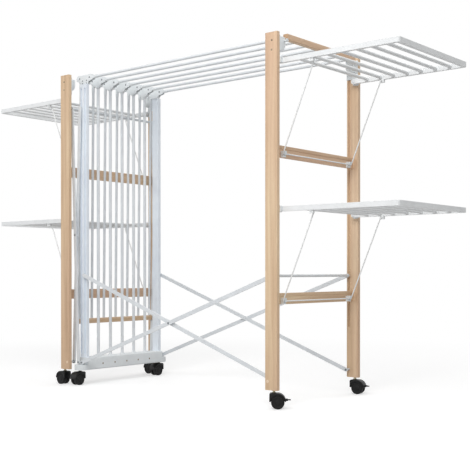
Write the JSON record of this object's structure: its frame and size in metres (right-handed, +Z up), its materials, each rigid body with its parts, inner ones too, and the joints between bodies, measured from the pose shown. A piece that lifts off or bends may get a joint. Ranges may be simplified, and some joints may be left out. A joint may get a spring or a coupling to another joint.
{
  "type": "folding clothes drying rack",
  "caption": "Folding wooden drying rack on casters, with tube grids on a centre frame, hinged slatted wings with wire stays, and scissor braces that let its ends pull out.",
  "frame": {"origin": "floor level under the middle of the rack's bounding box, in the half-open pose of the rest state", "axes": "+X along the rack towards the end that is pulled out, +Y towards the far side, +Z up"},
  "size_m": [2.3886, 0.6571, 1.504],
  "materials": {
    "wood": "clear-lacquered beech",
    "white_wood": "white lacquer",
    "white_metal": "white powder coat",
    "white_plastic": "satin white",
    "black_plastic": "satin black",
    "wheel_rubber": "smooth black tread",
    "steel": "zinc-plated"
  },
  "bodies": {
    "centre": {"centre_beam": "white_plastic", "centre_upright_near": "white_wood", "centre_upright_far": "white_wood", "centre_tubes": "white_metal", "top_connectors": "white_plastic", "centre_screws": "steel"},
    "left_braces_b": {"left_braces_b": "white_metal", "left_brace_rod": "white_metal"},
    "left_braces_a": {"left_braces_a": "white_metal"},
    "left_frame": {"left_upright_near": "wood", "left_upright_far": "wood", "left_crossbars": "wood", "left_top_rests": "white_plastic", "left_wing_hinges": "white_plastic", "left_stay_clips": "white_plastic", "left_frame_screws": "steel"},
    "left_grid": {"left_grid_tubes": "white_metal", "left_grid_bar": "wood", "left_grid_knuckles": "white_plastic"},
    "left_lower_wing": {"left_lower_wing_frame": "white_plastic", "left_lower_wing_slats": "white_plastic"},
    "left_lower_stay": {"left_lower_stay": "white_metal"},
    "left_upper_wing": {"left_upper_wing_frame": "white_plastic", "left_upper_wing_slats": "white_plastic"},
    "left_upper_stay": {"left_upper_stay": "white_metal"},
    "right_braces_b": {"right_braces_b": "white_metal", "right_brace_rod": "white_metal"},
    "right_braces_a": {"right_braces_a": "white_metal"},
    "right_frame": {"right_upright_near": "wood", "right_upright_far": "wood", "right_crossbars": "wood", "right_top_rests": "white_plastic", "right_wing_hinges": "white_plastic", "right_stay_clips": "white_plastic", "right_frame_screws": "steel"},
    "right_grid": {"right_grid_tubes": "white_metal", "right_grid_bar": "wood", "right_grid_knuckles": "white_plastic"},
    "right_lower_wing": {"right_lower_wing_frame": "white_plastic", "right_lower_wing_slats": "white_plastic"},
    "right_lower_stay": {"right_lower_stay": "white_metal"},
    "right_upper_wing": {"right_upper_wing_frame": "white_plastic", "right_upper_wing_slats": "white_plastic"},
    "right_upper_stay": {"right_upper_stay": "white_metal"},
    "left_near_caster": {"left_near_caster_housing": "black_plastic"},
    "left_near_wheels": {"left_near_caster_wheels": "wheel_rubber"},
    "left_far_caster": {"left_far_caster_housing": "black_plastic"},
    "left_far_wheels": {"left_far_caster_wheels": "wheel_rubber"},
    "right_near_caster": {"right_near_caster_housing": "black_plastic"},
    "right_near_wheels": {"right_near_caster_wheels": "wheel_rubber"},
    "right_near_brake": {"right_near_brake_lever": "black_plastic"},
    "right_far_caster": {"right_far_caster_housing": "black_plastic"},
    "right_far_wheels": {"right_far_caster_wheels": "wheel_rubber"},
    "right_far_brake": {"right_far_brake_lever": "black_plastic"},
    "centre_near_caster": {"centre_near_caster_housing": "black_plastic"},
    "centre_near_wheels": {"centre_near_caster_wheels": "wheel_rubber"},
    "centre_far_caster": {"centre_far_caster_housing": "black_plastic"},
    "centre_far_wheels": {"centre_far_caster_wheels": "wheel_rubber"}
  },
  "joints": [
    {"name": "left_fold", "type": "hinge", "parent": "centre", "child": "left_braces_b", "pos_m": [-0.5707, 0, 0.109], "axis": [0, -1, 0], "range_deg": [0, 67.88]},
    {"name": "left_scissor", "type": "hinge", "parent": "left_braces_b", "child": "left_braces_a", "pos_m": [-0.5935, 0, 0.72633], "axis": [0, -1, 0], "range_deg": [-135.76, 0]},
    {"name": "left_frame_foot", "type": "hinge", "parent": "left_braces_a", "child": "left_frame", "pos_m": [-0.6163, 0, 0.109], "axis": [0, -1, 0], "range_deg": [0, 67.88]},
    {"name": "left_grid_fold", "type": "hinge", "parent": "centre", "child": "left_grid", "pos_m": [-0.5927, 0, 1.49], "axis": [0, 1, 0], "range_deg": [0, 67.88]},
    {"name": "left_lower_wing_fold", "type": "hinge", "parent": "left_frame", "child": "left_lower_wing", "pos_m": [-0.6553, 0, 0.7998], "axis": [0, -1, 0], "range_deg": [0, 90]},
    {"name": "left_lower_stay_fold", "type": "hinge", "parent": "left_lower_wing", "child": "left_lower_stay", "pos_m": [-0.8023, 0, 0.7838], "axis": [0, -1, 0], "range_deg": [-113.1, 0]},
    {"name": "left_upper_wing_fold", "type": "hinge", "parent": "left_frame", "child": "left_upper_wing", "pos_m": [-0.6553, 0, 1.3936], "axis": [0, -1, 0], "range_deg": [0, 90]},
    {"name": "left_upper_stay_fold", "type": "hinge", "parent": "left_upper_wing", "child": "left_upper_stay", "pos_m": [-0.8023, 0, 1.3776], "axis": [0, -1, 0], "range_deg": [-113.1, 0]},
    {"name": "right_fold", "type": "hinge", "parent": "centre", "child": "right_braces_b", "pos_m": [-0.5447, 0, 0.109], "axis": [0, -1, 0], "range_deg": [0, 67.88]},
    {"name": "right_scissor", "type": "hinge", "parent": "right_braces_b", "child": "right_braces_a", "pos_m": [0.0358, 0, 0.32027], "axis": [0, -1, 0], "range_deg": [-135.76, 0]},
    {"name": "right_frame_foot", "type": "hinge", "parent": "right_braces_a", "child": "right_frame", "pos_m": [0.6163, 0, 0.109], "axis": [0, -1, 0], "range_deg": [0, 67.88]},
    {"name": "right_grid_fold", "type": "hinge", "parent": "centre", "child": "right_grid", "pos_m": [-0.5227, 0, 1.49], "axis": [0, 1, 0], "range_deg": [0, 89.3]},
    {"name": "right_lower_wing_fold", "type": "hinge", "parent": "right_frame", "child": "right_lower_wing", "pos_m": [0.6553, 0, 0.7998], "axis": [0, 1, 0], "range_deg": [0, 90]},
    {"name": "right_lower_stay_fold", "type": "hinge", "parent": "right_lower_wing", "child": "right_lower_stay", "pos_m": [0.8023, 0, 0.7838], "axis": [0, 1, 0], "range_deg": [-113.1, 0]},
    {"name": "right_upper_wing_fold", "type": "hinge", "parent": "right_frame", "child": "right_upper_wing", "pos_m": [0.6553, 0, 1.3936], "axis": [0, 1, 0], "range_deg": [0, 90]},
    {"name": "right_upper_stay_fold", "type": "hinge", "parent": "right_upper_wing", "child": "right_upper_stay", "pos_m": [0.8023, 0, 1.3776], "axis": [0, 1, 0], "range_deg": [-113.1, 0]},
    {"name": "left_near_swivel", "type": "hinge", "parent": "left_frame", "child": "left_near_caster", "pos_m": [-0.642, -0.2993, 0.06], "axis": [0, 0, 1], "continuous": true},
    {"name": "left_near_wheel_spin", "type": "hinge", "parent": "left_near_caster", "child": "left_near_wheels", "pos_m": [-0.657, -0.2993, 0.027], "axis": [0, -1, 0], "continuous": true},
    {"name": "left_far_swivel", "type": "hinge", "parent": "left_frame", "child": "left_far_caster", "pos_m": [-0.642, 0.2993, 0.06], "axis": [0, 0, 1], "continuous": true},
    {"name": "left_far_wheel_spin", "type": "hinge", "parent": "left_far_caster", "child": "left_far_wheels", "pos_m": [-0.657, 0.2993, 0.027], "axis": [0, -1, 0], "continuous": true},
    {"name": "right_near_swivel", "type": "hinge", "parent": "right_frame", "child": "right_near_caster", "pos_m": [0.642, -0.2993, 0.06], "axis": [0, 0, 1], "continuous": true},
    {"name": "right_near_wheel_spin", "type": "hinge", "parent": "right_near_caster", "child": "right_near_wheels", "pos_m": [0.65398, -0.29027, 0.027], "axis": [-0.6018, 0.7986, 0], "continuous": true},
    {"name": "right_near_brake_press", "type": "hinge", "parent": "right_near_caster", "child": "right_near_brake", "pos_m": [0.68433, -0.2674, 0.037], "axis": [-0.6018, 0.7986, 0], "range_deg": [0, 15]},
    {"name": "right_far_swivel", "type": "hinge", "parent": "right_frame", "child": "right_far_caster", "pos_m": [0.642, 0.2993, 0.06], "axis": [0, 0, 1], "continuous": true},
    {"name": "right_far_wheel_spin", "type": "hinge", "parent": "right_far_caster", "child": "right_far_wheels", "pos_m": [0.65667, 0.30242, 0.027], "axis": [-0.2079, 0.9781, 0], "continuous": true},
    {"name": "right_far_brake_press", "type": "hinge", "parent": "right_far_caster", "child": "right_far_brake", "pos_m": [0.69384, 0.31032, 0.037], "axis": [-0.2079, 0.9781, 0], "range_deg": [0, 15]},
    {"name": "centre_near_swivel", "type": "hinge", "parent": "centre", "child": "centre_near_caster", "pos_m": [-0.5667, -0.27, 0.06], "axis": [0, 0, 1], "continuous": true},
    {"name": "centre_near_wheel_spin", "type": "hinge", "parent": "centre_near_caster", "child": "centre_near_wheels", "pos_m": [-0.5667, -0.285, 0.027], "axis": [1, 0, 0], "continuous": true},
    {"name": "centre_far_swivel", "type": "hinge", "parent": "centre", "child": "centre_far_caster", "pos_m": [-0.5667, 0.27, 0.06], "axis": [0, 0, 1], "continuous": true},
    {"name": "centre_far_wheel_spin", "type": "hinge", "parent": "centre_far_caster", "child": "centre_far_wheels", "pos_m": [-0.5667, 0.255, 0.027], "axis": [1, 0, 0], "continuous": true}
  ],
  "couplings": [
    {"joint": "left_scissor", "follows": "left_fold", "ratio": -2},
    {"joint": "left_frame_foot", "follows": "left_fold", "ratio": 1},
    {"joint": "left_grid_fold", "follows": "left_fold", "ratio": 1},
    {"joint": "left_lower_stay_fold", "follows": "left_lower_wing_fold", "ratio": -1.2567},
    {"joint": "left_upper_stay_fold", "follows": "left_upper_wing_fold", "ratio": -1.2567},
    {"joint": "right_scissor", "follows": "right_fold", "ratio": -2},
    {"joint": "right_frame_foot", "follows": "right_fold", "ratio": 1},
    {"joint": "right_lower_stay_fold", "follows": "right_lower_wing_fold", "ratio": -1.2567},
    {"joint": "right_upper_stay_fold", "follows": "right_upper_wing_fold", "ratio": -1.2567}
  ]
}
